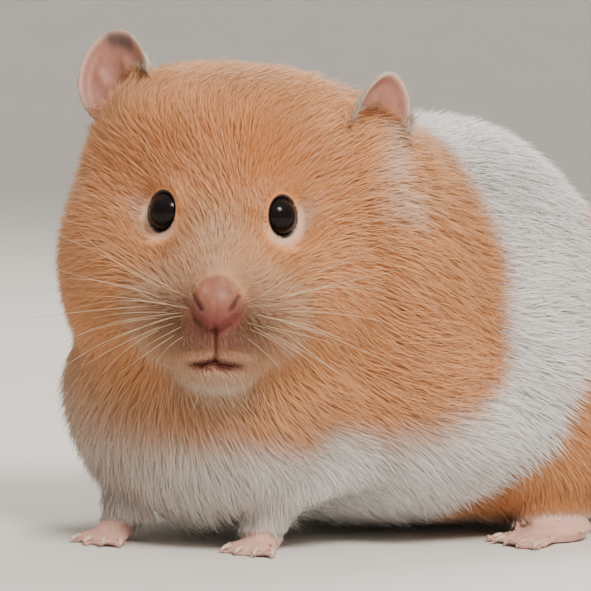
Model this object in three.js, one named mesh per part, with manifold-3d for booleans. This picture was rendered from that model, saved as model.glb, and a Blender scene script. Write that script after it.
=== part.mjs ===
// A Syrian hamster at life size, crouching with its head up and turned to its left.
// Millimetres, +Z up. The body lies along Y with its nose towards -Y, so its left side is +X.
// The solids follow the tips of the coat. The animal stands on the soles of its four feet at z = 0.

import * as THREE from "three";
import { mergeVertices } from "three/addons/utils/BufferGeometryUtils.js";
import Module from "manifold-3d";

const wasm = await Module();
wasm.setup();

// ---- Driving dimensions ----------------------------------------------------------------------

const GAP = 0.35; // clearance kept where one piece is cut by its neighbour
const FLOOR_SINK = 0.9; // how far a sole is pressed past the floor before it is cut flat
const BALL_STEPS = 6; // subdivisions of the ball that is pushed out to the body's outline
const HEAD_STEPS = 7; // the same for the head, which is smaller and so comes out finer
const ROOM_STEPS = 5; // the same for the hollow in the neck that the head sits in
const ROOM_MARGIN = 0.9; // clearance of that hollow, which is coarser than the head itself

const EYE_LINE = 57.5; // height of the eyes above the floor
const HEAD_PLACE = [26, -53, EYE_LINE]; // the point midway between the eyes
const HEAD_YAW = 57; // degrees that the face turns to the animal's left

const EYE_RADIUS = 3.4;
const EYE_SPREAD = 8.9; // from the midline to the middle of an eyeball
const EYE_DEPTH = 2.3; // how far the eyeball's middle lies behind the eye line

const EAR_HALF_WIDTH = 7.2;
const EAR_HALF_HEIGHT = 10.5;
const EAR_HALF_THICKNESS = 0.75;
const EAR_CUP = 3.4; // how far the rim curls forward of the ear's middle

const PAW_THICKNESS = 5.4;
const TOE_RADIUS = 1.15;
const CLAW_LENGTH = 2.6;
const CLAW_RADIUS = 0.6;

const TAIL_LENGTH = 10;
const TAIL_RADIUS = 2.1;

// ---- Materials -------------------------------------------------------------------------------

function material(colour, roughness) {
  return new THREE.MeshStandardMaterial({ color: colour, roughness, metalness: 0 });
}

const GOLDEN_FUR = material(0xcd915f, 0.95);
const WHITE_FUR = material(0xe6e1dc, 0.95);
const EAR_SKIN = material(0xbe968c, 0.75);
const FOOT_SKIN = material(0xcda091, 0.7);
const NOSE_SKIN = material(0xaf5a5a, 0.55);
const EYE_BLACK = material(0x0c0a0a, 0.08);

// ---- Lumps: the soft volumes that the outline is blended from ---------------------------------

const degrees = THREE.MathUtils.degToRad;

// An ellipsoid by its middle, its three radii and its turn in degrees about X, Y and Z.
function lump(middle, radii, turn = [0, 0, 0]) {
  const spin = new THREE.Euler(degrees(turn[0]), degrees(turn[1]), degrees(turn[2]));
  const place = new THREE.Matrix4().makeRotationFromEuler(spin).setPosition(...middle);
  return { inward: place.invert(), radii: new THREE.Vector3(...radii) };
}

// The same lump on the other side of the midline.
function bothSides(middle, radii, turn = [0, 0, 0]) {
  const mirrored = [-middle[0], middle[1], middle[2]];
  return [lump(middle, radii, turn), lump(mirrored, radii, [turn[0], -turn[1], -turn[2]])];
}

// Roughly the distance from a point to a lump's surface, negative inside.
function distanceTo(shape, point) {
  const local = point.clone().applyMatrix4(shape.inward).divide(shape.radii);
  const stretch = local.length();
  const slope = local.divide(shape.radii).length();
  return slope < 1e-9 ? -shape.radii.x : (stretch * (stretch - 1)) / slope;
}

// A field that is zero on the blended outline of many lumps. Softness is the size of the fillets.
function blend(lumps, softness) {
  return (point) => {
    let sum = 0;
    for (const shape of lumps) {
      sum += Math.exp(-distanceTo(shape, point) / softness);
    }
    return -softness * Math.log(sum);
  };
}

// ---- Solids ----------------------------------------------------------------------------------

// A closed geometry as a solid that can be joined and cut.
function solidOf(geometry) {
  const bare = geometry.clone();
  bare.deleteAttribute("normal");
  bare.deleteAttribute("uv");
  const merged = mergeVertices(bare, 1e-4);
  const mesh = new wasm.Mesh({
    numProp: 3,
    vertProperties: new Float32Array(merged.attributes.position.array),
    triVerts: new Uint32Array(merged.index.array),
  });
  return new wasm.Manifold(mesh);
}

// Joins a list of solids into one.
function joined(solids) {
  return solids.reduce((whole, next) => whole.add(next));
}

// The largest body of a solid, so that no loose sliver of a cut is kept.
function mainBody(solid) {
  const bodies = solid.decompose();
  return bodies.reduce((best, next) => (next.volume() > best.volume() ? next : best));
}

// A solid as a named mesh.
function pieceOf(name, solid, finish) {
  const mesh = mainBody(solid).getMesh();
  const geometry = new THREE.BufferGeometry();
  geometry.setAttribute("position", new THREE.BufferAttribute(mesh.vertProperties, 3));
  geometry.setIndex(new THREE.BufferAttribute(mesh.triVerts, 1));
  geometry.computeVertexNormals();
  const piece = new THREE.Mesh(geometry, finish);
  piece.name = name;
  return piece;
}

// A ball whose vertices are pushed out along their rays to the field's outline, plus a margin.
function wrap(field, middle, steps, margin = 0) {
  const farthest = 95; // beyond every outline, seen from its middle
  const stride = 1.5; // step inwards while looking for the outline
  const halvings = 14; // then the crossing is closed in on this often
  const ball = new THREE.IcosahedronGeometry(1, steps);
  const spots = ball.attributes.position;
  const start = new THREE.Vector3(...middle);
  const ray = new THREE.Vector3();
  const probe = (reach) => field(start.clone().addScaledVector(ray, reach)) - margin;
  for (let i = 0; i < spots.count; i += 1) {
    ray.fromBufferAttribute(spots, i).normalize();
    let outside = farthest;
    while (outside > stride && probe(outside - stride) > 0) {
      outside -= stride;
    }
    let inside = Math.max(outside - stride, 0);
    for (let halving = 0; halving < halvings; halving += 1) {
      const half = (inside + outside) / 2;
      if (probe(half) > 0) {
        outside = half;
      } else {
        inside = half;
      }
    }
    const spot = start.clone().addScaledVector(ray, inside);
    spots.setXYZ(i, spot.x, spot.y, spot.z);
  }
  return solidOf(ball);
}

// An ellipsoid solid, turned in degrees.
function egg(middle, radii, turn = [0, 0, 0], sides = 16) {
  const spin = new THREE.Euler(degrees(turn[0]), degrees(turn[1]), degrees(turn[2]));
  const ball = new THREE.SphereGeometry(1, sides, Math.round(sides * 0.7));
  ball.scale(...radii);
  ball.applyMatrix4(new THREE.Matrix4().makeRotationFromEuler(spin).setPosition(...middle));
  return solidOf(ball);
}

// A profile of [radius, distance] pairs, spun about the line from one point towards another.
function spunAlong(profile, from, to, sides) {
  const start = new THREE.Vector3(...from);
  const direction = new THREE.Vector3(...to).sub(start).normalize();
  const points = profile.map(([radius, distance]) => new THREE.Vector2(radius, distance));
  const shape = new THREE.LatheGeometry(points, sides);
  const up = new THREE.Vector3(0, 1, 0);
  shape.applyQuaternion(new THREE.Quaternion().setFromUnitVectors(up, direction));
  shape.translate(start.x, start.y, start.z);
  return solidOf(shape);
}

function span(from, to) {
  return new THREE.Vector3(...from).distanceTo(new THREE.Vector3(...to));
}

// A tapering rod, flat at its start, which is buried in its neighbour, and round at its end.
function rod(from, to, startRadius, endRadius, sides) {
  const length = span(from, to);
  const profile = [
    [0, 0],
    [startRadius, 0],
    [endRadius, length],
    [endRadius * 0.64, length + endRadius * 0.77],
    [0, length + endRadius],
  ];
  return spunAlong(profile, from, to, sides);
}

// A toe with its claw: the claw is a slim cone, cut off before it gets too thin.
function toe(root, tip) {
  const length = span(root, tip);
  const profile = [
    [0, 0],
    [TOE_RADIUS * 1.15, 0],
    [TOE_RADIUS, length],
    [CLAW_RADIUS, length + TOE_RADIUS * 0.7],
    [CLAW_RADIUS * 0.5, length + CLAW_LENGTH],
    [0, length + CLAW_LENGTH],
  ];
  return spunAlong(profile, root, tip, 5);
}

// Everything below the floor, to cut soles and belly flat.
const BELOW_FLOOR = solidOf(new THREE.BoxGeometry(400, 400, 60).translate(0, 0, -30));

// ---- Head, in its own frame: the origin is midway between the eyes, the face looks along -Y ---

const HEAD_LUMPS = [
  lump([0, 20.5, 7.4], [23.5, 18.5, 18]), // crown
  ...bothSides([10.5, 20.5, 12.2], [11.5, 12.5, 11.6]), // corners of the crown
  lump([0, 6.5, -2.5], [10.5, 9.5, 10]), // brow and bridge of the nose
  lump([0, -3.5, -8.2], [7, 11, 6.5], [42, 0, 0]), // snout
  ...bothSides([5.6, -5.4, -16.3], [8.9, 7.6, 7.2], [0, 0, 14]), // whisker pads
  lump([0, -3, -21.2], [8.9, 7.6, 5.6]), // chin
  ...bothSides([13, 9.5, -13], [11, 12, 14.5]), // cheeks
  ...bothSides([16.8, 17, -9], [12, 12, 18.5]), // ruffs behind the cheeks
  lump([0, 9, -18], [17, 13, 10.5]), // throat
];
const headField = blend(HEAD_LUMPS, 2.2);
const HEAD_MIDDLE = [0, 8, -6];

const headFrame = new THREE.Group();
headFrame.position.set(...HEAD_PLACE);
headFrame.rotation.set(0, 0, degrees(HEAD_YAW));
headFrame.updateMatrix();

// An eyeball, a little proud of the fur, with a margin for the socket cut round it.
function eyeball(side, margin = 0) {
  const radius = EYE_RADIUS + margin;
  return egg([side * EYE_SPREAD, EYE_DEPTH, 0], [radius, radius, radius], [0, 0, 0], 11);
}

// The bare nose: a rounded pad with a wing beside each nostril, grown by a margin for its socket.
function nosePad(margin = 0) {
  const pad = egg([0, -14.2, -13.5], [3.5 + margin, 2.7 + margin, 3.9 + margin], [-25, 0, 0], 11);
  const wings = [-1, 1].map((side) =>
    egg([side * 2.3, -14.4, -12.5], [1.7 + margin, 2.0 + margin, 2.1 + margin], [0, 0, 0], 8),
  );
  return joined([pad, ...wings]);
}

// The comma-shaped openings on each side of the nose pad.
function nostrils() {
  return joined(
    [-1, 1].map((side) => egg([side * 2.7, -16.6, -12.8], [0.9, 0.9, 0.55], [0, side * 35, 0], 6)),
  );
}

// The lower jaw with its lip and chin fur.
function jaw(margin = 0) {
  return egg([0, -5, -25.7], [7.3 + margin, 6.8 + margin, 3.6 + margin], [-8, 0, 0], 13);
}

// The outer ear: an upright oval that narrows to its root and curls forward at the rim.
function earShell(margin = 0) {
  const shell = new THREE.SphereGeometry(1, 13, 9);
  const spots = shell.attributes.position;
  for (let i = 0; i < spots.count; i += 1) {
    const across = spots.getX(i);
    const along = spots.getY(i);
    const through = spots.getZ(i);
    const taper = 1 - 0.3 * Math.max(0, -along);
    const face = Math.sign(through) * Math.sqrt(Math.abs(through));
    const curl = EAR_CUP * (across * across * taper + 0.35 * Math.max(0, along) ** 2);
    spots.setXYZ(
      i,
      across * taper * (EAR_HALF_WIDTH + margin),
      -curl - face * (EAR_HALF_THICKNESS + margin),
      along * (EAR_HALF_HEIGHT + margin),
    );
  }
  return shell;
}

// Stands an ear in the head's frame, by its middle and its turns in degrees.
function earAt(middle, turn, margin = 0) {
  const spin = new THREE.Euler(degrees(turn[0]), degrees(turn[1]), degrees(turn[2]), "ZYX");
  const place = new THREE.Matrix4().makeRotationFromEuler(spin).setPosition(...middle);
  return solidOf(earShell(margin).applyMatrix4(place));
}

const EAR_RIGHT = { middle: [-18.2, 19, 20.2], turn: [-14, -20, -22] };
const EAR_LEFT = { middle: [23.4, 18.3, 15.6], turn: [6, 31, 48] };

function rightEar(margin = 0) {
  return earAt(EAR_RIGHT.middle, EAR_RIGHT.turn, margin);
}

function leftEar(margin = 0) {
  return earAt(EAR_LEFT.middle, EAR_LEFT.turn, margin);
}

// The head's own fur volume, before anything is cut from it.
function headWhole(margin = 0, steps = HEAD_STEPS) {
  return wrap(headField, HEAD_MIDDLE, steps, margin);
}

function head() {
  return headWhole()
    .subtract(eyeball(1, GAP))
    .subtract(eyeball(-1, GAP))
    .subtract(nosePad(GAP))
    .subtract(jaw(GAP))
    .subtract(leftEar(GAP))
    .subtract(rightEar(GAP));
}

// ---- Body --------------------------------------------------------------------------------------

const BODY_LUMPS = [
  lump([-3, 27, 33], [28, 28, 29.5]), // rump
  lump([20, 22, 19], [13, 22, 18], [0, 0, -8]), // left haunch
  lump([-24, 22, 19], [13, 22, 18], [0, 0, 8]), // right haunch
  lump([-1, 9, 42.5], [29.5, 31, 33]), // back
  lump([3, -6, 22], [34, 36, 20.5]), // belly
  lump([7, -18, 43], [28.5, 24, 33.5]), // shoulders
  lump([5, -42.5, 24], [28.5, 23, 22]), // chest
  lump([10, -29, 58], [22, 19, 23]), // nape
  lump([10.2, -45, 39], [25.6, 21.2, 20]), // collar
];
const bodyField = blend(BODY_LUMPS, 3.5);
const BODY_MIDDLE = [4, -7, 36];

function bodyWhole() {
  return wrap(bodyField, BODY_MIDDLE, BALL_STEPS);
}

// The parts that the body is divided into, as the balls that bound them.
function neckRegion(margin = 0) {
  return egg([13, -40, 52], [33 + margin, 24 + margin, 33 + margin], [0, 0, HEAD_YAW], 13);
}

function haunchRegion(side, margin = 0) {
  const middle = side > 0 ? [29, 23, 20] : [-33, 23, 20];
  return egg(middle, [15 + margin, 20 + margin, 21 + margin], [0, 0, 0], 13);
}

function shoulderRegion(side, margin = 0) {
  const middle = side > 0 ? [33, -37, 16] : [-12, -54, 16];
  return egg(middle, [13 + margin, 13 + margin, 17 + margin], [0, 0, 0], 11);
}

// The forearm, hidden in the fur of the chest apart from the wrist.
function forearm(side, margin = 0) {
  const wrist = side > 0 ? [21, -39, 5] : [3, -57, 5];
  const elbow = side > 0 ? [27, -32, 17] : [-3, -49, 17];
  return rod(elbow, wrist, 6 + margin, 3.6 + margin, 9);
}

// ---- Feet --------------------------------------------------------------------------------------

// Each foot by its length and width, its number of toes and the angle over which they fan out.
const FORE_FOOT = { length: 10, width: 7, toes: 4, fan: 46 };
const HIND_FOOT = { length: 18, width: 7.6, toes: 5, fan: 40 };

// Where the root of each foot's toes stands on the floor, and the degrees it turns to the left.
const FOOT_PLACES = {
  forefoot_left: { kind: FORE_FOOT, spot: [24, -43, 0], turn: 36 },
  forefoot_right: { kind: FORE_FOOT, spot: [6, -62, 0], turn: 34 },
  hindfoot_left: { kind: HIND_FOOT, spot: [31, 10, 0], turn: 8 },
  hindfoot_right: { kind: HIND_FOOT, spot: [-32, 10, 0], turn: -10 },
};

// A foot that points along -Y: a sole with toes spread as a fan, each with a claw.
function footShape({ length, width, toes, fan }) {
  const middle = [0, length * 0.42, PAW_THICKNESS / 2 - FLOOR_SINK];
  const parts = [egg(middle, [width / 2, length * 0.46, PAW_THICKNESS / 2], [4, 0, 0], 8)];
  for (let i = 0; i < toes; i += 1) {
    const place = i / (toes - 1) - 0.5; // across the foot, from -0.5 to 0.5
    const turn = degrees(place * fan);
    const reach = length * (0.36 - 0.3 * place * place);
    const root = [place * width * 0.72, length * 0.18, TOE_RADIUS + 0.3];
    const tip = [
      root[0] + Math.sin(turn) * reach,
      root[1] - Math.cos(turn) * reach,
      TOE_RADIUS - 0.35,
    ];
    parts.push(toe(root, tip));
  }
  return joined(parts);
}

function footSolid(name) {
  const { kind, spot, turn } = FOOT_PLACES[name];
  const place = new THREE.Matrix4().makeRotationZ(degrees(turn)).setPosition(...spot);
  return footShape(kind).transform(place.elements).subtract(BELOW_FLOOR);
}

// The short tail, low on the rump.
function tail(margin = 0) {
  const root = [-4, 50, 16];
  const tip = [-4.5, 50 + TAIL_LENGTH, 11];
  return rod(root, tip, TAIL_RADIUS + margin, TAIL_RADIUS * 0.5 + margin, 8);
}

// ---- Assembly ----------------------------------------------------------------------------------

headFrame.add(
  pieceOf("eye_left", eyeball(1), EYE_BLACK),
  pieceOf("eye_right", eyeball(-1), EYE_BLACK),
  pieceOf("nose", nosePad().subtract(nostrils()), NOSE_SKIN),
  pieceOf("lower_jaw", jaw().subtract(nosePad(GAP)), GOLDEN_FUR),
  pieceOf("ear_left", leftEar(), EAR_SKIN),
  pieceOf("ear_right", rightEar(), EAR_SKIN),
  pieceOf("head", head(), GOLDEN_FUR),
);

// The hollow that the head sits in, in the body's frame.
const headRoom = joined([
  headWhole(ROOM_MARGIN, ROOM_STEPS),
  jaw(GAP),
  leftEar(GAP),
  rightEar(GAP),
]).transform(headFrame.matrix.elements);

const bodyPieces = new THREE.Group();
const wholeBody = bodyWhole().subtract(BELOW_FLOOR).subtract(headRoom);
bodyPieces.add(pieceOf("neck", wholeBody.intersect(neckRegion()), GOLDEN_FUR));
bodyPieces.add(pieceOf("tail", tail(), FOOT_SKIN));

let trunk = wholeBody.subtract(neckRegion(GAP)).subtract(tail(GAP));
for (const [side, word] of [
  [1, "left"],
  [-1, "right"],
]) {
  const forefoot = footSolid("forefoot_" + word);
  const hindfoot = footSolid("hindfoot_" + word);
  const foreleg = wholeBody
    .intersect(shoulderRegion(side))
    .add(forearm(side))
    .subtract(neckRegion(GAP))
    .subtract(BELOW_FLOOR)
    .subtract(forefoot);
  const hindleg = wholeBody.intersect(haunchRegion(side)).subtract(hindfoot);
  bodyPieces.add(
    pieceOf("forefoot_" + word, forefoot, FOOT_SKIN),
    pieceOf("hindfoot_" + word, hindfoot, FOOT_SKIN),
    pieceOf("foreleg_" + word, foreleg, GOLDEN_FUR),
    pieceOf("hindleg_" + word, hindleg, GOLDEN_FUR),
  );
  trunk = trunk
    .subtract(shoulderRegion(side, GAP))
    .subtract(forearm(side, GAP))
    .subtract(haunchRegion(side, GAP))
    .subtract(forefoot)
    .subtract(hindfoot);
}
bodyPieces.add(pieceOf("trunk", trunk, WHITE_FUR));

// The whole animal, with the middle of its footprint at the origin.
const animal = new THREE.Group();
animal.add(headFrame, bodyPieces);
const extent = new THREE.Box3().setFromObject(animal, true);
const middle = extent.getCenter(new THREE.Vector3());
animal.position.set(-middle.x, -middle.y, 0);

const hamster = new THREE.Group();
hamster.add(animal);

export default hamster;
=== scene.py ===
"""A Syrian hamster at life size: skin, coat, eyes, whiskers and claws on a plain studio floor.

Blender's own lengths are metres. The shapes below are written in millimetres, as an animal's are,
and turned into metres where a mesh is made. Two frames are used. The row's frame has its origin on
the floor, X to the animal's left, Y to its tail and Z up. The head's frame has its origin midway
between the openings of the eyes, X to the head's left, Y to the back of the skull and Z up.
"""

import math

import bmesh
import bpy
import numpy as np
from bpy.props import FloatProperty, FloatVectorProperty, IntProperty, PointerProperty
from mathutils import Matrix, Vector
from mathutils.bvhtree import BVHTree
from mathutils.kdtree import KDTree


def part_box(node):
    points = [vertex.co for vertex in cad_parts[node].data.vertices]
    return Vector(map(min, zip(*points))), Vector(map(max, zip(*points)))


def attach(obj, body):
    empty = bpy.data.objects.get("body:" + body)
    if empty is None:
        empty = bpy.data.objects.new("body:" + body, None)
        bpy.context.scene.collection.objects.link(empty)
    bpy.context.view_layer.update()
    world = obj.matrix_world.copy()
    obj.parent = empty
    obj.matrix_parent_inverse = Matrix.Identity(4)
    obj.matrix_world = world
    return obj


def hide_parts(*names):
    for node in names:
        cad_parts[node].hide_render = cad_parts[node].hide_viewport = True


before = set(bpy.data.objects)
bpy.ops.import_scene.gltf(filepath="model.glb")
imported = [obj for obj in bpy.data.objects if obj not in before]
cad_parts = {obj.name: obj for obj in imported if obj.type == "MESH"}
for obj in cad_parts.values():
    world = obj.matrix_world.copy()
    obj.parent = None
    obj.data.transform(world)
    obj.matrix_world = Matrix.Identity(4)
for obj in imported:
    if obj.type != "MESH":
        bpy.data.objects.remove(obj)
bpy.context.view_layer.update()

bl_info = {
    "name": "Syrian Hamster",
    "version": (1, 0, 0),
    "blender": (4, 5, 0),
    "location": "3D View > Sidebar > Hamster",
    "description": "Builds a still, life-size Syrian hamster around its solid model",
    "category": "Add Mesh",
}

MM = 0.001
IMAGE_SIZE = 591  # width and height of the picture, in pixels
EYES_IN_IMAGE = (222.5, 214.5)  # where the point between the eyes falls in the picture
EYE_DEPTH = 2.3  # how far the eyeballs' middles lie behind the head frame's origin
FLOOR_CLEARANCE = 0.08  # kept between the floor and the lowest hair
SKIN_CLEARANCE = 0.05  # kept between the floor and the soles
FURRY_DEPTH = 1.0  # least depth of coat that hides the small shapes of the skin
COAT_STAND = 0.68  # height of the leaning tufts, as a share of the coat's depth
DRAW_STEPS = 5  # steps in which the skin is drawn in under the coat
LID_REACH = 3.4  # how far round the opening of the eye the skin is bent to meet it
EYE_FLOOR = 0.3  # where the skin lies hidden in the eyeball, before the eye's middle
EAR_ROUNDS = 3  # times that the skin of the ears is laid on their solids and evened
ROOT_SUNK = 0.15  # how deep a tuft is rooted in the skin
PATCH_SIZE = 0.003  # width of a tuft on the unwrap, where the whole unwrap is 1
SIDES = {1: "left", -1: "right"}  # the animal's sides along X

# Rounds of smoothing, by what is smoothed.
ROUNDS = {
    "coat depth": 14, "parts": 4, "furry places": 6, "bare skin": 20, "furry skin": 45,
    "normals": 12, "ankles": 90, "nose": 8,
}

FLESH = [
    "trunk", "neck", "head", "lower_jaw", "nose", "ear_left", "ear_right",
    "foreleg_left", "foreleg_right", "forefoot_left", "forefoot_right",
    "hindleg_left", "hindleg_right", "hindfoot_left", "hindfoot_right", "tail",
]

# How deep the coat stands over the skin on each part, in millimetres.
COAT_DEPTH = {
    "trunk": 3.5, "neck": 3.2, "head": 2.1, "lower_jaw": 0.8, "nose": 0.05,
    "ear_left": 0.12, "ear_right": 0.12, "foreleg_left": 2.8, "foreleg_right": 2.8,
    "forefoot_left": 0.15, "forefoot_right": 0.15, "hindleg_left": 3.4, "hindleg_right": 3.4,
    "hindfoot_left": 0.15, "hindfoot_right": 0.15, "tail": 0.4,
}


# ---- Frames and small sums ---------------------------------------------------------------------


def middle(name):
    """The middle of a node's box, in millimetres."""
    low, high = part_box(name)
    return np.array((low + high) / 2) / MM


def unit(vectors):
    """Vectors at length one."""
    length = np.linalg.norm(vectors, axis=-1, keepdims=True)
    return vectors / np.maximum(length, 1e-12)


EYES = {side: middle("eye_" + word) for side, word in SIDES.items()}
EYE_MIDDLE = (EYES[1] + EYES[-1]) / 2
HEAD_LEFT = unit(EYES[1] - EYES[-1])
HEAD_UP = np.array([0.0, 0.0, 1.0])
HEAD_BACK = np.cross(HEAD_UP, HEAD_LEFT)
HEAD_AXES = np.array([HEAD_LEFT, HEAD_BACK, HEAD_UP])
HEAD_ORIGIN = EYE_MIDDLE - HEAD_BACK * EYE_DEPTH


def in_head(places):
    """Places of the row's frame in the head's frame."""
    return (places - HEAD_ORIGIN) @ HEAD_AXES.T


def from_head(places):
    """Places of the head's frame in the row's frame."""
    return np.asarray(places, float) @ HEAD_AXES + HEAD_ORIGIN


def face_plane(head):
    """Places of the head's frame as (distance from the middle, up)."""
    return np.column_stack([np.abs(head[:, 0]), head[:, 2]])


# The middle of each ear in the head's frame, and its turns about X, Y and Z in degrees.
EARS = {
    1: {"middle": (23.4, 18.3, 15.6), "turn": (6, 31, 48)},
    -1: {"middle": (-18.2, 19.0, 20.2), "turn": (-14, -20, -22)},
}
EAR_HALF_WIDTH = 7.2
EAR_HALF_HEIGHT = 10.5


def ear_axes(side):
    """The ear's own directions in the row's frame: across, to its back and to its tip."""
    turns = [
        Matrix.Rotation(math.radians(angle), 3, axis)
        for angle, axis in zip(EARS[side]["turn"], "XYZ")
    ]
    return np.array(turns[2] @ turns[1] @ turns[0]).T @ HEAD_AXES


def in_ear(places, side):
    """Places in an ear's frame: -1 to 1 from its inner to its outer edge, millimetres to its
    back, and -1 to 1 from its root to its tip."""
    away = places - from_head(EARS[side]["middle"])
    return away @ ear_axes(side).T / [EAR_HALF_WIDTH * side, 1, EAR_HALF_HEIGHT]


def rise(values, low, high):
    """A soft step from 0 at low to 1 at high."""
    share = np.clip((values - low) / (high - low), 0.0, 1.0)
    return share * share * (3.0 - 2.0 * share)


def bump(distances, width):
    """1 at no distance, falling softly to almost 0 at about twice the width."""
    return np.exp(-((distances / width) ** 2))


def mixed(first, second, share):
    """A colour or direction for each place, part of the way from the first to the second."""
    first = np.asarray(first, float)
    share = np.asarray(share)[..., None] if np.ndim(share) else share
    return first + (np.asarray(second, float) - first) * share


def distance(places, middle, stretch=1.0):
    """The distance of each place from a middle, shortened along each axis by its stretch."""
    return np.linalg.norm((places - np.asarray(middle)) / np.asarray(stretch), axis=1)


def to_segment(places, start, end):
    """The distance of each place from a straight stretch."""
    start = np.asarray(start, float)
    along = np.asarray(end, float) - start
    share = np.clip((places - start) @ along / (along @ along), 0.0, 1.0)
    return np.linalg.norm(places - start - share[:, None] * along, axis=1)


def on_parts(nodes, *words):
    """Which places lie on a part of flesh whose name holds one of these words."""
    return np.array([any(word in name for word in words) for name in FLESH])[nodes]


def ripple(places, size, seed, waves=7):
    """Soft random hills of about this size, between -1 and 1, the same for the same seed."""
    draw = np.random.default_rng(seed)
    total = np.zeros(len(places))
    for _ in range(waves):
        direction = unit(draw.normal(size=3)) * draw.uniform(0.6, 1.6) * math.pi / size
        total += np.sin(places @ direction + draw.uniform(0, 2 * math.pi))
    return total / math.sqrt(waves) / 1.5


def srgb(red, green, blue):
    """A screen colour of 0 to 255 as the linear colour that Blender holds."""
    return tuple(
        part / 12.92 if part <= 0.04045 else ((part + 0.055) / 1.055) ** 2.4
        for part in (red / 255, green / 255, blue / 255)
    )


# ---- Settings ----------------------------------------------------------------------------------


def length(name, description, default):
    return FloatProperty(
        name=name, description=description, default=default, min=0.0, unit="LENGTH", precision=5
    )


def angle(name, description, degrees):
    return FloatProperty(
        name=name, description=description, default=math.radians(degrees), subtype="ANGLE"
    )


def plain(name, description, default):
    return FloatProperty(name=name, description=description, default=default)


def number(name, description, default):
    return IntProperty(name=name, description=description, default=default, min=0)


def colour(name, description, default):
    return FloatVectorProperty(
        name=name, description=description, default=default, size=3, subtype="COLOR", min=0, max=1
    )


class HamsterSkinSettings(bpy.types.PropertyGroup):
    """The skin under the coat and where it shows bare."""

    voxel: length("Skin Grain", "Edge of the skin's squares before the face is refined", 0.00092)
    growth: length("Seam Cover", "How far the parts are grown into each other", 0.0007)
    nose: colour("Nose", "Bare pad of the nose", srgb(118, 60, 52))
    lips: colour("Lips", "Lips and the inside of the mouth", srgb(132, 58, 50))
    ear: colour("Ear", "Inside and back of the ears", srgb(164, 110, 94))
    ear_edge: colour("Ear Tip", "Dusky patch at the tip of the ears", srgb(96, 76, 70))
    foot: colour("Feet", "Bare skin of the feet and tail", srgb(222, 172, 156))
    lid: colour("Eyelids", "Rim of the eyelids", srgb(42, 30, 28))


class HamsterCoatSettings(bpy.types.PropertyGroup):
    """The coat's markings and its tufts."""

    golden: colour("Golden", "Cape, cheeks and rump", srgb(218, 141, 82))
    crown: colour("Crown", "Forehead and the top of the head", srgb(198, 111, 46))
    muzzle: colour("Muzzle", "Short hairs of the bridge and whisker pads", srgb(198, 142, 98))
    cream: colour("Cream", "Chin, rings under the eyes and inner ear hairs", srgb(226, 206, 184))
    # Dusky: short dark hairs round the nose and the lips, with painted shade beside the nose pad.
    dark_hair_and_nose_shade: colour("Dusky", "Short dark hairs round the nose and the lips", srgb(98, 52, 34))
    # Flush: reddish short hairs under the nose, with painted shade under the pad.
    flush: colour("Flush", "Reddish short hairs under the nose", srgb(138, 68, 56))
    white: colour("White", "Band round the body, chest and belly", srgb(242, 235, 228))
    curved: number("Curved Tufts", "Long curved tufts in the coat", 78000)
    straight: number("Straight Tufts", "Short straight tufts below", 165000)
    # Root Shade paints shade at the roots of the tufts, and Tip Shade paints light at their tips.
    root_shade: plain("Root Shade", "Light at the roots", 0.86)
    tip_shade: plain("Tip Shade", "Light at the tips", 1.06)
    seed: number("Seed", "Start of the random draws", 7)


class HamsterEyeSettings(bpy.types.PropertyGroup):
    """The eyeballs and the opening between the lids."""

    radius: length("Radius", "Radius of an eyeball", 0.0034)
    opening: angle("Opening", "Half of the angle that the lids leave open", 72)
    black: colour("Black", "The whole of the eye that shows", srgb(14, 9, 8))


class HamsterHairSettings(bpy.types.PropertyGroup):
    """Whiskers and claws."""

    whisker: colour("Whiskers", "Pale golden bristle", srgb(212, 180, 142))
    claw: colour("Claws", "Pale horn", srgb(226, 200, 178))
    longest: length("Longest Whisker", "Length of the longest whisker", 0.0234)
    whisker_width: length("Whisker Width", "Width of a whisker at its root", 0.00011)
    claw_length: length("Claw Length", "From the toe to the point", 0.0026)
    claw_width: length("Claw Width", "Width of a claw at its root", 0.0011)


class HamsterStageSettings(bpy.types.PropertyGroup):
    """Floor, lights and camera."""

    floor: colour("Floor", "Pale floor and backdrop", srgb(226, 222, 216))
    azimuth: angle("Azimuth", "Where the camera stands round the animal", 57)
    elevation: angle("Elevation", "How far the camera looks down", 4)
    roll: angle("Roll", "Tilt of the view", 2.3)
    distance: length("Distance", "From the camera to the eyes", 0.5)
    sky: colour("Sky", "Light from all round", (1.0, 0.97, 0.94))
    sky_strength: plain("Sky Strength", "Strength of the light from all round", 0.85)
    key_power: plain("Key Power", "Main light in watts", 11.0)
    rim_power: plain("Rim Power", "Light behind in watts", 5.0)
    focal: plain("Focal Length", "In millimetres, on a sensor 36 mm wide", 182.7)


# ---- Meshes ------------------------------------------------------------------------------------


def read(items, field, width=1, kind=np.float32):
    """One field of all of a mesh's items, in rows of this width."""
    flat = np.empty(len(items) * width, kind)
    items.foreach_get(field, flat)
    flat = flat.astype(float) if kind is np.float32 else flat
    return flat.reshape(-1, width) if width > 1 else flat


def places_of(mesh):
    """A mesh's vertices in millimetres."""
    return read(mesh.vertices, "co", 3) / MM


def put_places(mesh, places):
    """Moves a mesh's vertices to places in millimetres."""
    mesh.vertices.foreach_set("co", (places * MM).astype(np.float32).ravel())
    mesh.update()


def normals_of(mesh):
    return read(mesh.vertex_normals, "vector", 3)


def smoothed(values, edges, rounds, share=0.5):
    """Values at the vertices, each drawn towards the mean of its neighbours this many times. A
    choice of vertices becomes a share, which falls from 1 inside to 0 outside."""
    columns = values.reshape(len(values), -1).astype(float)
    first, second = edges.T
    count = np.bincount(edges.ravel(), minlength=len(values))[:, None]
    for _ in range(rounds):
        total = np.empty_like(columns)
        for i, column in enumerate(columns.T):
            total[:, i] = np.bincount(first, column[second], len(values))
            total[:, i] += np.bincount(second, column[first], len(values))
        columns = columns + (total / np.maximum(count, 1) - columns) * share
    return columns.reshape(values.shape)


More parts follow.
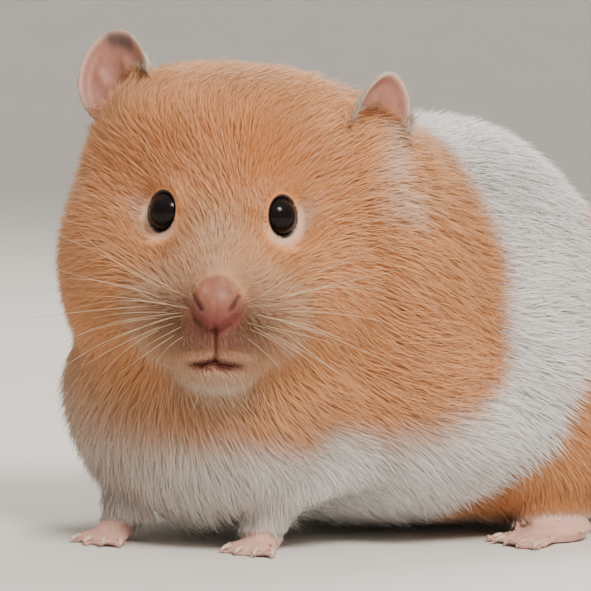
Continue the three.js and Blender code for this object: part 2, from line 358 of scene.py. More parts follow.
def evened(places, edges, rounds):
    """Places with their steps evened out and thin parts kept thick: each round of smoothing is
    followed by one that swells the shape again."""
    for _ in range(rounds):
        places = smoothed(places, edges, 1, 0.5)
        places = smoothed(places, edges, 1, -0.52)
    return places


def put_numbers(mesh, name, values):
    """Stores a number for each vertex."""
    attribute = mesh.attributes.new(name, "FLOAT", "POINT")
    attribute.data.foreach_set("value", values.astype(np.float32))


def put_colours(mesh, name, colours):
    """Stores a colour for each vertex."""
    attribute = mesh.attributes.new(name, "FLOAT_COLOR", "POINT")
    opaque = np.hstack([colours, np.ones((len(colours), 1))])
    attribute.data.foreach_set("color", opaque.astype(np.float32).ravel())


def add_object(name, data):
    """Puts a mesh, a light or a camera in the scene as an object at the origin."""
    piece = bpy.data.objects.new(name, data)
    bpy.context.scene.collection.objects.link(piece)
    return piece


def linked(name, mesh, material):
    """Makes an object of a finished mesh, which rides on the one body."""
    piece = add_object(name, mesh)
    mesh.materials.append(material)
    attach(piece, "root")
    return piece


def smooth_shaded(mesh):
    mesh.polygons.foreach_set("use_smooth", np.ones(len(mesh.polygons), bool))


# ---- Markings and painted shade ----------------------------------------------------------------


def cape_edge(places):
    """How far each place lies in front of the golden cape's rear edge, in millimetres."""
    height = places[:, 2]
    edge = 5.5 - 10.0 * (np.maximum(height - 44, 0) / 33) ** 2
    edge = edge - 8.0 * (np.maximum(40 - height, 0) / 15) ** 2
    return edge - places[:, 1] + 1.6 * ripple(places, 9, 3)


def rump_edge(places):
    """How far each place lies behind the front edge of the golden rump, in millimetres."""
    height = places[:, 2]
    edge = 8.0 + 1.15 * np.minimum(height - 14, 16) + 0.3 * np.maximum(height - 30, 0)
    return (places[:, 1] - edge) * 0.8 + 1.6 * ripple(places, 9, 4)


def body_colour(places, coat):
    """The body's coat: the golden cape and rump, the white band and belly, and the chest."""
    height = places[:, 2]
    wander = 2.2 * ripple(places, 14, 5) + 1.1 * ripple(places, 5, 6)
    over_belly = rise(height + wander, 17, 26)
    cape = rise(cape_edge(places), -1.6, 1.6) * over_belly
    rump = rise(rump_edge(places), -1.6, 1.6) * rise(height, 2, 7)
    body = mixed(coat.white, coat.golden, np.maximum(cape, rump))
    chest = bump(distance(places, [-4, -50, 24], [1.4, 1.2, 1.0]), 17)
    chest = chest * rise(-height, -36, -22)
    return mixed(body, mixed(coat.cream, coat.golden, 0.35), chest * 0.9)


def head_markings_and_shade(head, coat):
    """The markings of the head, with the painted shade beside and under the nose and on the chin,
    in the order in which they lie over each other, each as a colour and its share at every place of
    the head's frame."""
    across, back, up = head.T
    folded = np.column_stack([np.abs(across), back, up])
    flat = face_plane(head)
    front = rise(-back, -1, 6)

    on_head = rise(19.5 - distance(head, [0, 12, -6], [1.35, 1.25, 1.2]), -3, 3)
    yield coat.golden, on_head
    crown = bump(distance(head, [0, 8, 13], [1.3, 1.1, 1.0]), 16)
    yield coat.crown, crown * on_head * 0.8
    pads = rise(-distance(folded, [6.5, -9.5, -17.0], [1.25, 1.1, 1.0]), -12, -6)
    yield coat.muzzle, pads * front * 0.9
    bridge = bump(across, 5.0) * front * rise(up, -15, -11) * rise(-up, -7, 5)
    yield mixed(coat.muzzle, coat.cream, 0.1), bridge * 0.9
    # cream chin, toned towards the muzzle's tan as painted shade under the head
    chin = bump(distance(head, [0, -8, -28], [1.6, 1.2, 0.8]), 5.0)
    yield mixed(coat.cream, coat.muzzle, 0.35), chin
    # short dark hairs beside the nose pad, darkened further as painted shade
    beside_nose = bump(distance(folded, [4.4, -13, -16.6], [1.25, 1.2, 0.9]), 4.9)
    yield coat.dark_hair_and_nose_shade, beside_nose * 0.95
    # reddish hairs under the nose, with painted shade under the pad
    under_nose = bump(distance(folded, [0.5, -13, -18.6], [1.5, 1.2, 1.0]), 2.4)
    yield coat.flush, under_nose * 0.8
    for side, eye in EYES.items():
        away = head - in_head(eye[None])[0]
        reach = np.linalg.norm(away, axis=1)
        below = rise((side * away[:, 0] * 0.6 - away[:, 2] * 0.8) / reach, -0.3, 0.6)
        yield coat.cream, bump(np.maximum(reach - 4.2, 0), 1.3) * below * 0.62
    streak = bump(to_segment(flat, (25.8, 15), (26.0, 6.5)), 1.7)
    patch = bump(distance(flat, [28, 2.5], [1.2, 1]), 3.2)
    yield coat.cream, np.maximum(streak * 0.65, patch * 0.5) * rise(back, 6, 12)


def coat_colour(places, coat):
    """The colour of the coat at each place of the row's frame."""
    colours = body_colour(places, coat)
    for tint, share in head_markings_and_shade(in_head(places), coat):
        colours = mixed(colours, tint, share)
    return np.clip(colours, 0, 1)


# ---- Materials ---------------------------------------------------------------------------------


def new_material(name):
    """A material and its Principled shader, ready for more nodes."""
    material = bpy.data.materials.new(name)
    material.use_nodes = True
    return material, material.node_tree, material.node_tree.nodes["Principled BSDF"]


def set_inputs(node, values):
    for name, value in values.items():
        node.inputs[name].default_value = value


def object_noise(tree, scale, detail=2.0):
    """Noise on Object coordinates, scale in features per metre."""
    place = tree.nodes.new("ShaderNodeTexCoord")
    noise = tree.nodes.new("ShaderNodeTexNoise")
    set_inputs(noise, {"Scale": scale, "Detail": detail})
    tree.links.new(place.outputs["Object"], noise.inputs["Vector"])
    return noise.outputs["Fac"]


def between(tree, value, low, high):
    """A value of 0 to 1 spread between two others."""
    spread = tree.nodes.new("ShaderNodeMapRange")
    set_inputs(spread, {"To Min": low, "To Max": high})
    tree.links.new(value, spread.inputs["Value"])
    return spread.outputs["Result"]


def stored_values(tree, name):
    stored = tree.nodes.new("ShaderNodeAttribute")
    stored.attribute_name = name
    return stored.outputs


def colour_by_attribute(tree, shader, name, scale, low, high):
    """Gives a stored colour, made lighter and darker by noise between two factors."""
    product = tree.nodes.new("ShaderNodeVectorMath")
    product.operation = "SCALE"
    tree.links.new(stored_values(tree, name)["Color"], product.inputs[0])
    factor = between(tree, object_noise(tree, scale), low, high)
    tree.links.new(factor, product.inputs["Scale"])
    tree.links.new(product.outputs["Vector"], shader.inputs["Base Color"])


def colour_by_noise(tree, shader, scale, tint, shade, detail=2.0):
    """Gives one tint, which wanders by noise to a lighter or darker shade of it."""
    blend = tree.nodes.new("ShaderNodeMix")
    blend.data_type = "RGBA"
    shaded = [shade * part for part in tint]
    set_inputs(blend, {"A": (*shaded, 1), "B": (*tint, 1)})
    tree.links.new(object_noise(tree, scale, detail), blend.inputs["Factor"])
    tree.links.new(blend.outputs["Result"], shader.inputs["Base Color"])


def let_light_through(shader, weight, radius):
    """Softens the shade by light that passes under the surface, radius in metres by colour."""
    values = {"Weight": weight, "Radius": radius, "Scale": 1.0}
    set_inputs(shader, {"Subsurface " + name: value for name, value in values.items()})


def skin_material():
    """Skin: the markings under the coat with painted shade in the folds, openings and hollows of
    the face and ears, and moist or wrinkled skin where it is bare.
    """
    material, tree, shader = new_material("hamster skin")
    colour_by_attribute(tree, shader, "markings", 900, 0.82, 1.12)
    roughness = between(tree, stored_values(tree, "bareness")["Fac"], 0.9, 0.55)
    tree.links.new(roughness, shader.inputs["Roughness"])
    let_light_through(shader, 0.15, (0.0016, 0.0006, 0.0004))
    pores = tree.nodes.new("ShaderNodeBump")
    set_inputs(pores, {"Strength": 0.35, "Distance": 0.0002})
    tree.links.new(object_noise(tree, 2600, 3.0), pores.inputs["Height"])
    tree.links.new(pores.outputs["Normal"], shader.inputs["Normal"])
    return material


def coat_material():
    """Hair: matt, with the stored colour of each tuft, lit softly through, with a faint sheen."""
    material, tree, shader = new_material("hamster coat")
    colour_by_attribute(tree, shader, "coat", 1400, 0.9, 1.1)
    set_inputs(shader, {"Roughness": 0.75, "Specular IOR Level": 0.2})
    set_inputs(shader, {"Sheen Weight": 0.2, "Sheen Roughness": 0.45})
    let_light_through(shader, 0.25, (0.0010, 0.0007, 0.0005))
    return material


def horn_material(name, tint, roughness):
    """Whiskers and claws: smooth horn, a little paler and darker along its length."""
    material, tree, shader = new_material(name)
    colour_by_noise(tree, shader, 700, tint, 0.8)
    set_inputs(shader, {"Roughness": roughness})
    let_light_through(shader, 0.2, (0.0008, 0.0005, 0.0004))
    return material


# ---- The skin ----------------------------------------------------------------------------------


def merged_copy(name):
    """A node's own mesh with its loose triangles joined up."""
    part = bmesh.new()
    part.from_mesh(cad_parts[name].data)
    bmesh.ops.remove_doubles(part, verts=part.verts, dist=1e-6)
    part.normal_update()
    return part


def grown_flesh(growth):
    """All parts of flesh in one mesh, each grown so that it runs into its neighbours. The eyes
    fill their sockets, so that the skin passes over them in one sheet."""
    whole = bpy.data.meshes.new("skin")
    joined = bmesh.new()
    for name in (*FLESH, "eye_left", "eye_right"):
        part = merged_copy(name)
        for vert in part.verts:
            vert.co += vert.normal * growth
        one = bpy.data.meshes.new(name)
        part.to_mesh(one)
        part.free()
        joined.from_mesh(one)
        bpy.data.meshes.remove(one)
    joined.to_mesh(whole)
    joined.free()
    return whole


def nearest_nodes(places):
    """For each place, the number in FLESH of the part it lies on."""
    corners = []
    faces = []
    owners = []
    for owner, name in enumerate(FLESH):
        part = merged_copy(name)
        start = len(corners)
        corners.extend(vert.co.copy() for vert in part.verts)
        part.verts.index_update()
        for face in part.faces:
            faces.append([start + vert.index for vert in face.verts])
            owners.append(owner)
        part.free()
    tree = BVHTree.FromPolygons(corners, faces)
    return np.array([owners[tree.find_nearest(Vector(place * MM))[2]] for place in places])


def refine(mesh, wanted):
    """Cuts every edge in two whose ends both lie where wanted says."""
    inside = wanted(places_of(mesh))
    work = bmesh.new()
    work.from_mesh(mesh)
    chosen = [e for e in work.edges if inside[e.verts[0].index] and inside[e.verts[1].index]]
    bmesh.ops.subdivide_edges(work, edges=chosen, cuts=1, use_grid_fill=True)
    work.to_mesh(mesh)
    work.free()


def to_nearest_eye(places):
    return np.minimum(*[distance(places, eye) for eye in EYES.values()])


def fine_zone(places):
    """The face, the ears and the feet, whose skin is refined once."""
    head = in_head(places)
    face = distance(head, [0, -10, -16]) < 15
    ears = (head[:, 2] > 7) & (np.abs(head[:, 0]) > 13) & (head[:, 1] > 6) & (head[:, 1] < 30)
    feet = places[:, 2] < 5.5
    below = (np.abs(places[:, 0]) > 20) | (places[:, 1] < -33)
    return face | (to_nearest_eye(places) < 6.6) | ears | (feet & below)


def finest_zone(places):
    """The nose, the mouth and the rims of the eyes, refined a second time."""
    head = in_head(places)
    mouth = distance(head, [0, -13, -17], [1, 1, 1.4]) < 6.5
    return mouth | (to_nearest_eye(places) < 4.9)


def lid_zone(places):
    """The rims of the lids, refined a third time."""
    zone = np.zeros(len(places), bool)
    for side in EYES:
        beside, along = from_look(places, side)
        zone |= (beside > 2.4) & (beside < 4.6) & (along > -1.5) & (along < 5)
    return zone


# Lines of the face as (across, up) in the head's frame, for both sides of the middle.
NOSTRIL = ((2.4, -14.5), (3.6, -12.5))
NOSTRIL_WING = ((3.2, -14.9), (4.2, -13.0))
PAD_MIDDLE = (0.0, -13.2)
PAD_RADII = (3.85, 4.3)
CLEFT = ((0.0, -17.4), (0.0, -23.0))
MOUTH_HALF_WIDTH = 6.8
MOUTH_HEIGHT = -23.7


def pad_reach(head):
    """0 at the middle of the nose's pad and 1 at its edge."""
    return distance(head[:, [0, 2]], PAD_MIDDLE, PAD_RADII)


def mouth_line(across):
    """The height of the closed lips, which sink to the corners and rise to the cleft."""
    return MOUTH_HEIGHT + 0.5 * bump(across, 1.3) - 0.01 * across**2


def at_most(depth, chosen, limit):
    """The coat's depth, kept under a limit on the chosen places."""
    return np.where(chosen, np.minimum(depth, limit), depth)


def coat_depth(places, nodes):
    """How deep the coat stands over each place of the skin, before it is evened out. It grows
    deeper away from the nose, the eyes, the bare skin of the face and the feet."""
    depth = np.array([COAT_DEPTH[name] for name in FLESH])[nodes]
    head = in_head(places)
    to_nose = distance(head, [0, -14, -15.8])
    on_head = on_parts(nodes, "head", "lower_jaw", "neck")
    depth = at_most(depth, on_head, 0.55 + 0.11 * np.maximum(to_nose - 5, 0))
    depth = at_most(depth, on_head, 0.5 + 0.3 * (to_nearest_eye(places) - 4))
    flat = face_plane(head)
    corner = (MOUTH_HALF_WIDTH, MOUTH_HEIGHT - 0.6)
    lips = np.minimum(to_segment(flat, *CLEFT), to_segment(flat, CLEFT[1], corner))
    to_bare = np.minimum(lips, PAD_RADII[0] * np.maximum(pad_reach(head) - 1, 0))
    depth = at_most(depth, on_head & (head[:, 1] < -7), 0.15 + 0.3 * to_bare)
    height = places[:, 2]
    depth = at_most(depth, on_parts(nodes, "leg"), 0.7 + 0.25 * np.maximum(height - 6, 0))
    return np.where(on_parts(nodes, "foot"), 0.15 + 0.25 * np.maximum(height - 4.2, 0), depth)


def lip_zone(places):
    """The lips and the chin, evened before the mouth is pressed in."""
    head = in_head(places)
    return (head[:, 2] < -19.5) & (head[:, 1] < -6) & (np.abs(head[:, 0]) < 9)


def ankle_zone(places, nodes):
    """The tops of the feet, evened again where the legs enter them."""
    return on_parts(nodes, "foot", "leg") & (places[:, 2] > 3.7) & (places[:, 2] < 9)


def drawn_to_ears(places, edges, share):
    """Lays the skin of the ears on their solids, so that their thin rims come out even."""
    trees = []
    for word in SIDES.values():
        part = merged_copy("ear_" + word)
        trees.append(BVHTree.FromBMesh(part))
        part.free()
    chosen = np.flatnonzero(share > 0.02)
    for _ in range(EAR_ROUNDS):
        for i in chosen:
            spot = Vector(places[i] * MM)
            hits = [tree.find_nearest(spot) for tree in trees]
            nearest = min(hits, key=lambda hit: hit[3])[0]
            target = np.array(nearest) / MM
            places[i] = places[i] + (target - places[i]) * share[i]
        places = mixed(places, smoothed(places, edges, 2), share)
    return places


def eye_direction(side):
    """Where the eye on this side looks, out and forward."""
    return unit(np.array([side * 0.74, -0.66, 0.1])) @ HEAD_AXES


def from_look(places, side):
    """How far each place lies beside the line along which an eye looks, and how far along it
    from the eye's middle."""
    away = places - EYES[side]
    along = away @ eye_direction(side)
    return np.linalg.norm(away - along[..., None] * eye_direction(side), axis=-1), along


def lid_rim(eye_settings):
    """The radius of the opening between the lids and how far before the eye's middle it lies."""
    radius = eye_settings.radius / MM
    return radius * math.sin(eye_settings.opening), radius * math.cos(eye_settings.opening)


def shape_lids(places, eye_settings):
    """Sinks the skin into each eyeball inside the lids and lays a raised rim round the opening."""
    opening, level = lid_rim(eye_settings)
    for side in EYES:
        beside, along = from_look(places, side)
        near = (beside < opening + LID_REACH) & (along > -1.5)
        rim = level + 0.35 + 0.25 * bump(beside - opening - 0.5, 0.5)
        outside = rim + (along - rim) * rise(beside, opening + 0.3, opening + LID_REACH)
        wanted = EYE_FLOOR + (outside - EYE_FLOOR) * rise(beside, opening - 0.3, opening + 0.05)
        moved = places + (wanted - along)[:, None] * eye_direction(side)
        places = np.where(near[:, None], moved, places)
    return places


def pressed(presses):
    """How far the skin is pressed in at each place, from pairs of a depth and its share there."""
    return sum(depth * share for depth, share in presses)


def shape_ears(places, share):
    """Bends the sheets of the ears into a hollow at the root, a roll along the rim and two
    folds. Share tells how far each place belongs to an ear."""
    for side in EARS:
        across, through, up = in_ear(places, side).T
        flat = np.column_stack([across, up])
        near = share * rise(-np.abs(through), -9, -6) * (np.abs(across) < 1.6)
        edge = np.hypot(across * 1.02, up)
        presses = (
            (1.7, bump(distance(flat, [0.05, -0.5], [0.5, 0.42]), 1)),
            (-0.7, bump(to_segment(flat, (-0.35, -0.6), (-0.25, 0.35)), 0.14)),
            (-0.45, bump(to_segment(flat, (0.2, -0.35), (0.45, 0.3)), 0.12)),
            (-0.5, bump(edge - 0.93, 0.09) * rise(up, -0.7, 0)),
            (0.35, bump(edge - 0.76, 0.1) * rise(up, -0.5, 0.2)),
        )
        places = places + (pressed(presses) * near)[:, None] * ear_axes(side)[1]
    return places


def shape_face(places):
    """Presses in the nostrils, the fold under the nose, the cleft of the lip and the mouth."""
    head = in_head(places)
    across, through, up = head.T
    front = rise(-through, 9.0, 11.5)
    flat = face_plane(head)
    fold = bump(pad_reach(head) - 1.08, 0.12) * rise(-up, 13.4, 15.9)
    groove = bump(across, 0.5) * rise(-up, 12.0, 14.0) * rise(up, -18.4, -16.9)
    cleft = bump(across, 0.45) * rise(up, -24, -22.5) * rise(-up, 16.4, 17.9)
    above = up - mouth_line(across)
    within = rise(MOUTH_HALF_WIDTH - np.abs(across), 0, 2.5)
    upper_lip = bump(above - 1.7, 0.9) * rise(np.abs(across), 0.3, 1.8)
    presses = (
        (0.9, bump(to_segment(flat, *NOSTRIL), 0.36)),
        (-0.3, bump(to_segment(flat, *NOSTRIL_WING), 0.6)),
        (0.6, fold),
        (0.18, groove),
        (0.9, cleft),
        (1.2, bump(above, 0.7) * within),
        (-0.55, upper_lip * within),
        (-0.35, bump(above + 1.6, 0.8) * within),
    )
    through = through + pressed(presses) * front
    return from_head(np.column_stack([across, through, up]))


class Paint:
    """The colours of the skin, with how bare each place looks and where no tuft grows."""

    def __init__(self, colours):
        self.colours = colours
        self.bare = np.zeros(len(colours))
        self.bald = np.zeros(len(colours))

    def blend(self, tint, share):
        """Mixes in a tint."""
        self.colours = mixed(self.colours, tint, share)

    def lay_bare(self, tint, share, no_tufts=0.0):
        """Mixes in the tint of bare skin, and keeps tufts off this part of it."""
        self.blend(tint, share)
        self.bare = np.maximum(self.bare, share)
        self.keep_off(share * no_tufts)

    def keep_off(self, share):
        """Keeps tufts off this share of each place."""
        self.bald = np.maximum(self.bald, share)


def paint_ears(paint, places, nodes, skin, coat):
    """Colours the ears, with painted shade in their hollows, pale rims and the dark grey tip of the
    right one.
    """
    ear = np.array(skin.ear)
    paint.lay_bare(ear, on_parts(nodes, "ear"))
    for side, word in SIDES.items():
        across, _, up = in_ear(places, side).T
        flat = np.column_stack([across, up])
        mine = on_parts(nodes, "ear_" + word)
        # painted shade in the hollow at the root of each ear
        hollow = bump(distance(flat, [0.05, -0.5], [0.6, 0.45]), 1)
        paint.blend(ear * 0.4, mine * hollow * 0.8)
        rim = rise(np.hypot(across, up), 0.84, 0.95) * rise(up, -0.6, -0.1)
        paint.blend(mixed(ear, coat.cream, 0.5), mine * rim)
        if word == "right":
            dusk = bump(to_segment(flat, (0.0, 0.84), (-0.45, 0.66)), 0.15)
            paint.blend(skin.ear_edge, mine * dusk * 0.9)


def paint_nose(paint, head, front, skin, coat):
    """Colours the pad of the nose and the skin round it, with painted shade in the fold under it
    and in the nostrils.
    """
    across, _, up = head.T
    nose = np.array(skin.nose)
    lips = np.array(skin.lips)
    around = rise(-np.hypot(across / 6.2, (up + 16.4) / 4.6), -1.15, -0.7) * front
    paint.lay_bare(mixed(nose, lips, 0.6), around * 0.7)
    reach = pad_reach(head)
    pad = rise(-reach, -1.1, -0.85) * front
    low = rise(-up, 12, 17.4)
    tint = mixed(mixed(nose, coat.muzzle, 0.25), nose, low)
    paint.lay_bare(mixed(tint, mixed(nose, lips, 0.55), low**2), pad)
    paint.keep_off(pad * rise(-up, 9.0, 12.5))
    # painted shade in the fold under the pad
    fold = bump(reach - 1.08, 0.14) * rise(-up, 13.9, 16.4) * front
    paint.lay_bare(lips * 0.8, fold * 0.9, 0.9)
    # painted shade in the nostrils
    slit = bump(to_segment(face_plane(head), *NOSTRIL), 0.45) * front
    paint.lay_bare(lips * 0.35, slit * 0.7, 1.0)


def paint_mouth(paint, head, front, skin):
    """Colours the cleft of the lip and the lips, with painted shade in the cleft, in the parted
    mouth and along the line between the lips.
    """
    across, _, up = head.T
    lips = np.array(skin.lips)
    # lip skin in the cleft, darkened as painted shade in its groove
    cleft = bump(across, 0.6) * rise(-up, 16.4, 17.9) * rise(up, -25, -23)
    paint.lay_bare(lips * 0.7, cleft * front * 0.8, 1.0)
    above = up - mouth_line(across)
    within = rise(MOUTH_HALF_WIDTH - np.abs(across), 0, 3.0)
    paint.lay_bare(lips, bump(above + 0.5, 2.0) * within * front * 0.8, 0.8)
    # painted shade in the parted mouth
    parted = 1 - (across / 5.0) ** 2 - ((above + 0.6) / 1.2) ** 2
    paint.lay_bare(lips * 0.6, rise(parted, -0.5, 0.9) * front * 0.95, 1.0)
    # painted shade along the line between the lips
    paint.lay_bare(lips * 0.4, bump(above, 0.5) * within * front * 0.8, 1.0)


def paint_lids(paint, places, skin, eye_settings):
    """Colours the rims of the eyelids."""
    opening = lid_rim(eye_settings)[0]
    for side in EYES:
        beside, along = from_look(places, side)
        rim = rise(opening + 0.62 - beside, 0, 0.3) * rise(along, -1.5, -0.5)
        paint.lay_bare(skin.lid, rim, 1.0)


def painted_skin(places, nodes, skin, eye_settings, coat):
    """Colours the skin as the coat over it, and then the parts of it that show bare."""
    paint = Paint(coat_colour(places, coat))
    paint.lay_bare(skin.foot, on_parts(nodes, "foot") * rise(-places[:, 2], -7.5, -5.5))
    paint.lay_bare(skin.foot, on_parts(nodes, "tail"))
    paint_ears(paint, places, nodes, skin, coat)
    head = in_head(places)
    front = rise(-head[:, 1], 9.0, 11.5)
    paint_nose(paint, head, front, skin, coat)
    paint_mouth(paint, head, front, skin)
    paint_lids(paint, places, skin, eye_settings)
    return paint


def keep_largest(mesh):
    """Drops every loose shell but the largest."""
    work = bmesh.new()
    work.from_mesh(mesh)
    left = set(work.verts)
    shells = []
    while left:
        rim = [left.pop()]
        shell = set(rim)
        while rim:
            vert = rim.pop()
            fresh = {edge.other_vert(vert) for edge in vert.link_edges} - shell
            shell |= fresh
            rim.extend(fresh)
        left -= shell
        shells.append(shell)
    shells.sort(key=len)
    loose = [vert for shell in shells[:-1] for vert in shell]
    bmesh.ops.delete(work, geom=loose, context="VERTS")
    work.to_mesh(mesh)
    work.free()


def joined_flesh(settings):
    """All the flesh as one object of even squares, cut finer where the shape is small."""
    piece = add_object("skin", grown_flesh(settings.growth))
    bpy.context.view_layer.objects.active = piece
    piece.select_set(True)
    piece.data.remesh_voxel_size = settings.voxel
    bpy.ops.object.voxel_remesh()
    keep_largest(piece.data)
    for zone in (fine_zone, finest_zone, lid_zone):
        refine(piece.data, zone)
    return piece


def drawn_in(mesh, edges, inward, furry):
    """Draws the mesh in under the coat in even steps and returns its places. Under the fur it
    moves along the broad lie of the surface, and elsewhere along each vertex's own normal."""
    for _ in range(DRAW_STEPS):
        normals = normals_of(mesh)
        broad = unit(mixed(normals, smoothed(normals, edges, ROUNDS["normals"]), furry))
        step = broad * inward[:, None] / DRAW_STEPS
        put_places(mesh, smoothed(places_of(mesh) - step, edges, 1, 0.3))
    return places_of(mesh)


def make_skin(settings, eye_settings, coat):
    """One skin for all the flesh: joined, evened, drawn in by the coat's depth and shaped."""
    piece = joined_flesh(settings)
    mesh = piece.data
    places = places_of(mesh)
    edges = read(mesh.edges, "vertices", 2, np.int32)
    nodes = nearest_nodes(places)
    bare_depth = coat_depth(places, nodes)
    depth = smoothed(bare_depth, edges, ROUNDS["coat depth"])
    ears = smoothed(on_parts(nodes, "ear"), edges, ROUNDS["parts"])
    ankles = ankle_zone(places, nodes)
    furry = (bare_depth > FURRY_DEPTH) | lip_zone(places) | ankles
    furry = smoothed(furry, edges, ROUNDS["furry places"])
    firm = evened(places, edges, ROUNDS["bare skin"])
    places = mixed(firm, smoothed(places, edges, ROUNDS["furry skin"]), furry)
    put_places(mesh, drawn_to_ears(places, edges, ears))

    inward = settings.growth / MM * (1 - ears) + depth * COAT_STAND
    places = drawn_in(mesh, edges, inward, furry)
    ankles = smoothed(ankles, edges, ROUNDS["parts"])
    places = mixed(places, smoothed(places, edges, ROUNDS["ankles"]), ankles)
    places = shape_ears(places, ears)
    nose = smoothed(finest_zone(places), edges, ROUNDS["parts"])
    places = mixed(places, smoothed(places, edges, ROUNDS["nose"]), nose)
    places = shape_lids(places, eye_settings)
    paint = painted_skin(places, nodes, settings, eye_settings, coat)
    places = shape_face(places)
    places[:, 2] = np.maximum(places[:, 2], SKIN_CLEARANCE)
    put_places(mesh, places)
    # the skin's markings, with painted shade in the nose's fold, the nostrils, the mouth and the
    # ears' hollows
    put_colours(mesh, "markings", paint.colours)
    numbers = {"bareness": paint.bare, "bald": paint.bald, "depth": depth, "part": nodes}
    for name, values in numbers.items():
        put_numbers(mesh, name, values)
    smooth_shaded(mesh)
    mesh.materials.append(skin_material())
    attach(piece, "root")
    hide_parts(*FLESH)


class HAMSTER_OT_skin(bpy.types.Operator):
    """Make the one skin that stands for every part of flesh"""

    bl_idname = "hamster.skin"
    bl_label = "Skin"

    def execute(self, context):
        scene = context.scene
        make_skin(scene.hamster_skin, scene.hamster_eyes, scene.hamster_coat)
        return {"FINISHED"}


# ---- The coat ----------------------------------------------------------------------------------


def strand_template(sides, rings):
    """A pointed strand's faces, with each corner's share of the way to the tip and its direction
    round the middle line. It is drawn up from a closed ring and closed at the tip."""
    work = bmesh.new()
    bmesh.ops.create_circle(work, cap_ends=True, segments=sides, radius=1.0)
    ring = list(work.edges)
    for _ in range(rings):
        made = bmesh.ops.extrude_edge_only(work, edges=ring)["geom"]
        ring = [part for part in made if isinstance(part, bmesh.types.BMEdge)]
        top = [part for part in made if isinstance(part, bmesh.types.BMVert)]
        bmesh.ops.translate(work, verts=top, vec=(0, 0, 1))
    bmesh.ops.pointmerge(work, verts=top, merge_co=(0, 0, rings))
    bmesh.ops.recalc_face_normals(work, faces=work.faces)
    work.verts.index_update()
    spots = np.array([vert.co for vert in work.verts])
    faces = [[vert.index for vert in face.verts] for face in work.faces]
    work.free()
    return {"along": spots[:, 2] / rings, "around": spots[:, :2], "faces": faces}


def ring_directions(template, strands):
    """The direction of each strand's vertices from its middle line."""
    around = template["around"]
    across = unit(np.cross(strands["start"], strands["out"]))
    upward = np.cross(strands["start"], across)
    return across[:, None] * around[None, :, :1] + upward[:, None] * around[None, :, 1:]


def middle_lines(strands, along):
    """Places on each strand's middle line, these shares of the way to its tip. It bends evenly
    from its first direction to its last."""
    along = np.asarray(along)[None, :, None]
    start = strands["start"][:, None]
    bend = strands["end"][:, None] - start
    reach = strands["length"][:, None, None]
    lines = strands["root"][:, None] + reach * (along * start + along**2 / 2 * bend)
    return lines + strands["pull"][:, None] * along**2


def strand_places(template, strands):
    """The vertices of each strand, in rings that narrow to its tip."""
    along = template["along"][None, :, None]
    taper = 1.0 - 0.25 * along - 0.35 * along**2
    ring = ring_directions(template, strands) * strands["width"][:, None, None] / 2 * taper
    places = middle_lines(strands, template["along"]) + ring
    places[..., 2] = np.maximum(places[..., 2], FLOOR_CLEARANCE)
    return places


def strand_mesh(name, template, strands):
    """Joins many strands in one mesh. Each has a root, a first and a last direction, the skin's
    outward direction, a length, a width and a sideways pull of its tip."""
    places = strand_places(template, strands)
    count, each = places.shape[:2]
    corners = np.concatenate(template["faces"])
    totals = np.array([len(face) for face in template["faces"]])
    indices = (np.arange(count)[:, None] * each + corners).ravel()
    starts = np.concatenate([[0], np.cumsum(np.tile(totals, count))[:-1]])
    mesh = bpy.data.meshes.new(name)
    mesh.vertices.add(count * each)
    mesh.loops.add(len(indices))
    mesh.polygons.add(len(starts))
    mesh.vertices.foreach_set("co", (places * MM).astype(np.float32).ravel())
    mesh.loops.foreach_set("vertex_index", indices.astype(np.int32))
    mesh.polygons.foreach_set("loop_start", starts.astype(np.int32))
    mesh.update(calc_edges=True)
    smooth_shaded(mesh)
    return mesh


def finish_tufts(mesh, template, strands):
    """Stores the tufts' colours, normals and places on the skin's unwrap. Each tuft's colour runs
    from painted shade at its root to painted light at its tip. The ease of a tuft tells how far it
    is lit as the skin under it is, and not as a thread."""
    along = template["along"]
    shades = mixed(strands["dark"][:, None], strands["light"][:, None], along)
    put_colours(mesh, "coat", np.clip(shades, 0, 1).reshape(-1, 3))
    ease = strands["ease"][:, None, None]
    ring = ring_directions(template, strands)
    lie = unit(0.9 * ease * strands["out"][:, None] + (1 - 0.65 * ease) * ring)
    mesh.normals_split_custom_set_from_vertices(lie.reshape(-1, 3))
    patch = template["around"] * PATCH_SIZE / 2 * (1 - 0.85 * along[:, None])
    flat = np.clip(strands["map"][:, None] + patch, 0, 1).reshape(-1, 2)
    corners = read(mesh.loops, "vertex_index", 1, np.int32)
    layer = mesh.uv_layers.new(name="OFBake", do_init=False)
    layer.uv.foreach_set("vector", flat[corners].astype(np.float32).ravel())


